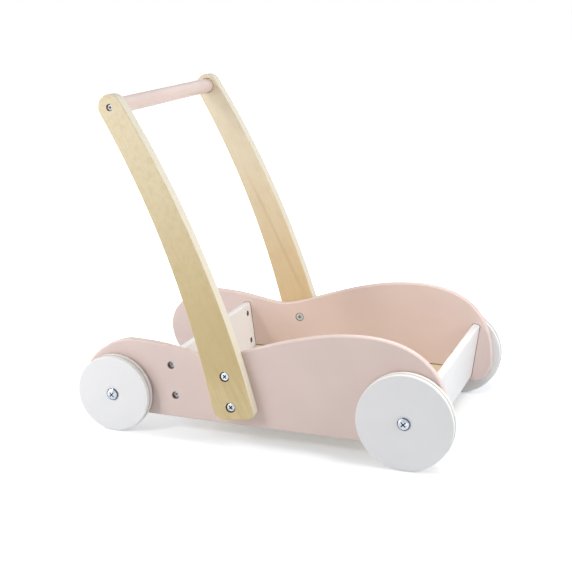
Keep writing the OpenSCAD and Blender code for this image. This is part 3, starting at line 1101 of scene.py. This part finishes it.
@dataclass
class Fixings:
    """The bolts and nuts that hold the arms and the boards to the side panels."""

    bolt_edge: float = 0.45 * MM
    nut_edge: float = 0.15 * MM

    def build(self) -> list[Piece]:
        """Builds the fixings.

        Returns:
            The new pieces.
        """
        pieces = []
        for side in Side:
            pieces.append(Screw(f"arm_bolts_{side.label}").build())
            pieces.append(SleeveNut(f"arm_sleeve_nuts_{side.label}").build())
            for end in End:
                node = f"{end.value}_board_bolts_{side.label}"
                edge = self.bolt_edge
                # These heads take the lightened zinc as painted light, and their cross recesses the darker
                # socket finish as painted shade.
                bolt = Screw(node, Finishes.dull, edge=edge, mouth=edge, hollows=Finishes.socket)
                pieces.append(bolt.build())
        for end in End:
            node = f"{end.value}_board_barrel_nuts"
            nut = Copied(node, Finishes.zinc, Slot.ZINC, self.nut_edge, self.nut_edge)
            pieces.append(nut.build())
        return pieces


@dataclass
class Wheel:
    """One wheel with its rubber cord and bush, and the bolt, washer and nut that it turns on.

    Attributes:
        end: The end of the walker.
        side: The side of the walker.
        bore: The diameter of the hole for the bush.
        rim: The radius of the rounded rims.
        lip: The radius of the rounded edges of the cord's groove.
        washer_edge: The radius of the washer's edges.
        corner_angle: The least angle of an edge that is rounded.
        tread_slope: The most that a face of the tread leans to the side, as the share of its normal.
        steps: The number of flats round a turned piece.
        cord_sides: The number of flats round the cord's section.
    """

    end: End
    side: Side
    bore: float = 11 * MM
    rim: float = 1.0 * MM
    lip: float = 0.25 * MM
    washer_edge: float = 0.2 * MM
    corner_angle: float = math.radians(60)
    tread_slope: float = 0.5
    steps: int = 144
    cord_sides: int = 20

    @property
    def corner(self) -> str:
        """The wheel's place, as it stands in the names of its nodes."""
        return f"{self.end.value}_{self.side.label}"

    def build(self) -> list[Piece]:
        """Builds the wheel.

        Returns:
            The new pieces.
        """
        dress(f"hub_bush_{self.corner}", Finishes.nylon)
        dress(f"axle_nut_{self.corner}", Finishes.zinc)
        bolt = AxleBolt(f"axle_bolt_{self.corner}")
        node = f"axle_washer_{self.corner}"
        washer = Copied(node, Finishes.zinc, Slot.ZINC, self.washer_edge, self.washer_edge)
        return [self.disc(), self.cord(), bolt.build(), washer.build()]

    def turn(self, profile: Mesh, centre: Vector) -> None:
        """Turns a closed profile, drawn in the Y-Z plane, round the wheel's axis.

        Args:
            profile: The profile's vertices and edges, which become the turned mesh.
            centre: A point on the axis.
        """
        bmesh.ops.spin(
            profile,
            geom=profile.verts[:] + profile.edges[:],
            cent=centre,
            axis=Vector((0, 1, 0)),
            angle=2 * math.pi,
            steps=self.steps,
            use_merge=True,
            use_duplicate=False,
        )
        bmesh.ops.remove_doubles(profile, verts=profile.verts, dist=0.001 * MM)
        bmesh.ops.recalc_face_normals(profile, faces=profile.faces)

    def disc(self) -> Piece:
        """Builds the wooden disc with the groove for its cord.

        Returns:
            The piece.
        """
        node = f"wheel_{self.corner}"
        low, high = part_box(node)
        cord_low, cord_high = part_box(f"tyre_{self.corner}")
        centre = (low + high) / 2
        outer = (high.z - low.z) / 2
        floor = (cord_high.z - cord_low.z) / 2 - (cord_high.y - cord_low.y)
        corners = [
            (self.bore / 2, low.y),
            (outer, low.y),
            (outer, cord_low.y),
            (floor, cord_low.y),
            (floor, cord_high.y),
            (outer, cord_high.y),
            (outer, high.y),
            (self.bore / 2, high.y),
        ]
        mesh = bmesh.new()
        verts = [mesh.verts.new((centre.x, y, centre.z + r)) for r, y in corners]
        for first, second in zip(verts, verts[1:] + verts[:1]):
            mesh.edges.new((first, second))
        self.turn(mesh, centre)
        sharp = [e for e in mesh.edges if e.is_convex and e.calc_face_angle() > self.corner_angle]
        rims = [e for e in sharp if self.on_tread(e, centre, outer, (low.y, high.y))]
        lips = [e for e in sharp if self.on_tread(e, centre, outer, (cord_low.y, cord_high.y))]
        round_edges(mesh, rims, self.rim, segments=6)
        round_edges(mesh, lips, self.lip, segments=2)
        mesh.normal_update()
        # The tread's faces take the lighter copy of the white lacquer: painted light.
        for face in mesh.faces:
            face.material_index = 1 if abs(face.normal.y) < self.tread_slope else 0
        piece = smooth_object(node + "_turned", mesh, [Finishes.white, Finishes.tread])
        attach(piece, node)
        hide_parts(node)
        return piece

    def on_tread(self, edge: Edge, centre: Vector, radius: float, planes: tuple[float, float]) -> bool:
        """Says whether an edge lies on the tread's radius in one of two planes.

        Args:
            edge: The edge.
            centre: The wheel's centre.
            radius: The tread's radius.
            planes: The two places along Y.

        Returns:
            True if it does.
        """
        near = 0.05 * MM
        for vert in edge.verts:
            off = min(abs(vert.co.y - plane) for plane in planes)
            if off > near or abs(from_axis(vert.co, centre) - radius) > near:
                return False
        return True

    def cord(self) -> Piece:
        """Builds the rubber cord in the tread.

        Returns:
            The piece.
        """
        node = f"tyre_{self.corner}"
        low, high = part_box(node)
        centre = (low + high) / 2
        radius = (high.y - low.y) / 2
        mesh = bmesh.new()
        place = Matrix.Translation(Vector((centre.x, centre.y, high.z - radius)))
        across = Matrix.Rotation(math.pi / 2, 4, "Y")
        bmesh.ops.create_circle(mesh, segments=self.cord_sides, radius=radius, matrix=place @ across)
        self.turn(mesh, centre)
        piece = smooth_object(node + "_cord", mesh, [Finishes.rubber])
        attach(piece, f"wheel_{self.corner}")
        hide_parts(node)
        return piece


def dress(node: str, finish: Finish) -> None:
    """Gives a CAD node that keeps its shape a better material.

    Args:
        node: The node's name.
        finish: The finish.
    """
    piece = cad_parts[node]
    if not piece.material_slots:
        piece.data.materials.append(None)
    for holder in piece.material_slots:
        holder.material = FINISHES.get(finish)


# ---- studio


@dataclass
class Softbox:
    """A square lamp, with the length of its sides, its power in watts and the point that it faces."""

    name: str
    place: Vector
    size: float
    power: float
    aim: Vector = field(default_factory=lambda: Vector((0, 0, 0.12)))

    def build(self) -> None:
        """Hangs the lamp."""
        data = bpy.data.lights.new(self.name, "AREA")
        data.shape = "SQUARE"
        data.size = self.size
        data.energy = self.power
        lamp = bpy.data.objects.new(self.name, data)
        lamp.location = self.place
        lamp.rotation_euler = (self.aim - self.place).to_track_quat("-Z", "Y").to_euler()
        bpy.context.scene.collection.objects.link(lamp)


def softboxes() -> list[Softbox]:
    """Lists the lamps: a small key from the rear right, and six others to soften it."""
    return [
        Softbox("Key", Vector((-0.8, -1.2, 1.0)), size=0.3, power=6.6),
        Softbox("Top", Vector((0, 0.3, 3.0)), size=2.6, power=2.0),
        Softbox("Right", Vector((1.7, -0.2, 0.9)), size=0.9, power=14.2),
        Softbox("Left", Vector((-1.7, 0.1, 0.9)), size=0.9, power=10.0),
        Softbox("Back", Vector((0.1, 1.8, 1.1)), size=1.2, power=5.8),
        Softbox("NearKey", Vector((-0.7, -0.7, 0.35)), size=0.45, power=2.3),
        Softbox("Inner", Vector((0.35, -0.12, 0.5)), size=0.15, power=1.0, aim=Vector((0.1, 0.12, 0.1))),
    ]


@dataclass
class Studio:
    """A white floor under a soft white sky, and the lamps.

    Attributes:
        lamps: The lamps, named for where they hang as the camera sees them.
        floor_size: The length of the floor's sides.
        floor_tone: The floor's colour.
        sky: The strength of the light that the sky gives the walker.
        glow: The floor's own brightness to the eye beside the walker, where 1 is white.
        near: The distance from the origin at which that brightness starts to grow.
        far: The distance at which it has grown to 1.
    """

    lamps: list[Softbox] = field(default_factory=softboxes)
    floor_size: float = 16.0
    floor_tone: Colour = paint(228, 231, 235)
    sky: float = 0.31
    glow: float = 0.34
    near: float = 0.25
    far: float = 0.55

    def build(self) -> None:
        """Builds the studio."""
        self.floor()
        self.world()
        for lamp in self.lamps:
            lamp.build()

    def floor(self) -> None:
        """Lays the floor, a white sheet that shows the walker's soft shadow."""
        mesh = bmesh.new()
        bmesh.ops.create_grid(mesh, x_segments=1, y_segments=1, size=self.floor_size / 2)
        data = bpy.data.meshes.new("studio_floor")
        mesh.to_mesh(data)
        mesh.free()
        floor = bpy.data.objects.new("studio_floor", data)
        bpy.context.scene.collection.objects.link(floor)
        recipe = Recipe("Studio white")
        away = recipe.add("VectorMath", "Value", {0: recipe.place}, operation="LENGTH")
        fade = recipe.remap(away, self.near, self.far, self.glow, 1.0)
        looks = {
            "Base Color": self.floor_tone,
            "Roughness": 1.0,
            "Specular IOR Level": 0.0,
            "Emission Color": WHITE,
            "Emission Strength": recipe.math("MULTIPLY", recipe.seen(), fade),
        }
        recipe.feed(recipe.shader, looks)
        data.materials.append(recipe.material)

    def world(self) -> None:
        """Paints the sky: soft light for the walker, white for the eye."""
        world = bpy.data.worlds.new("Studio sky")
        bpy.context.scene.world = world
        world.use_nodes = True
        nodes = Nodes(world.node_tree)
        sky = nodes.tree.nodes["Background"]
        nodes.feed(sky, {"Color": WHITE, "Strength": self.sky})
        white = nodes.add("Background", "Background", {"Color": WHITE, "Strength": 1.0})
        lights = {"Fac": nodes.seen(), 1: sky.outputs["Background"], 2: white}
        nodes.feed(nodes.tree.nodes["World Output"], {"Surface": nodes.add("MixShader", "Shader", lights)})


@dataclass
class Eye:
    """The camera: it looks at a point near the tray's middle from the right front.

    Attributes:
        azimuth: The angle from the side view towards the front.
        elevation: The angle above the ground.
        roll: The tilt about the line of sight.
        distance: The distance from the point looked at.
        aim: The point looked at.
        lens: The focal length in millimetres.
        sensor: The sensor's width in millimetres.
    """

    azimuth: float = math.radians(20.56)
    elevation: float = math.radians(15.14)
    roll: float = math.radians(-0.39)
    distance: float = 1.5689
    aim: Vector = field(default_factory=lambda: Vector((-0.0192, 0.0107, 0.1678)))
    lens: float = 74.39
    sensor: float = 36

    def build(self) -> None:
        """Places the camera and makes it the scene's own."""
        level = math.cos(self.elevation)
        back = Vector(
            (
                math.sin(self.azimuth) * level,
                -math.cos(self.azimuth) * level,
                math.sin(self.elevation),
            )
        )
        data = bpy.data.cameras.new("Eye")
        data.sensor_fit = "HORIZONTAL"
        data.sensor_width = self.sensor
        data.lens = self.lens
        camera = bpy.data.objects.new("Eye", data)
        bpy.context.scene.collection.objects.link(camera)
        facing = back.to_track_quat("Z", "Y").to_matrix().to_4x4()
        tilt = Matrix.Rotation(self.roll, 4, "Z")
        camera.matrix_world = Matrix.Translation(self.aim + back * self.distance) @ facing @ tilt
        bpy.context.scene.camera = camera


def main() -> None:
    """Builds the walker's looks, its studio and its camera."""
    logging.basicConfig(level=logging.INFO, format="%(name)s: %(message)s")
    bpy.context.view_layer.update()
    Eye().build()
    Studio().build()
    assemblies = [Tray(), Handle(), Fixings()]
    assemblies += [Wheel(end, side) for end in End for side in Side]
    for assembly in assemblies:
        for piece in assembly.build():
            LOG.info("%s: %d faces", piece.name, len(piece.data.polygons))
    bpy.context.scene.view_settings.view_transform = "Standard"
    bpy.context.view_layer.update()


if __name__ == "__main__":
    main()
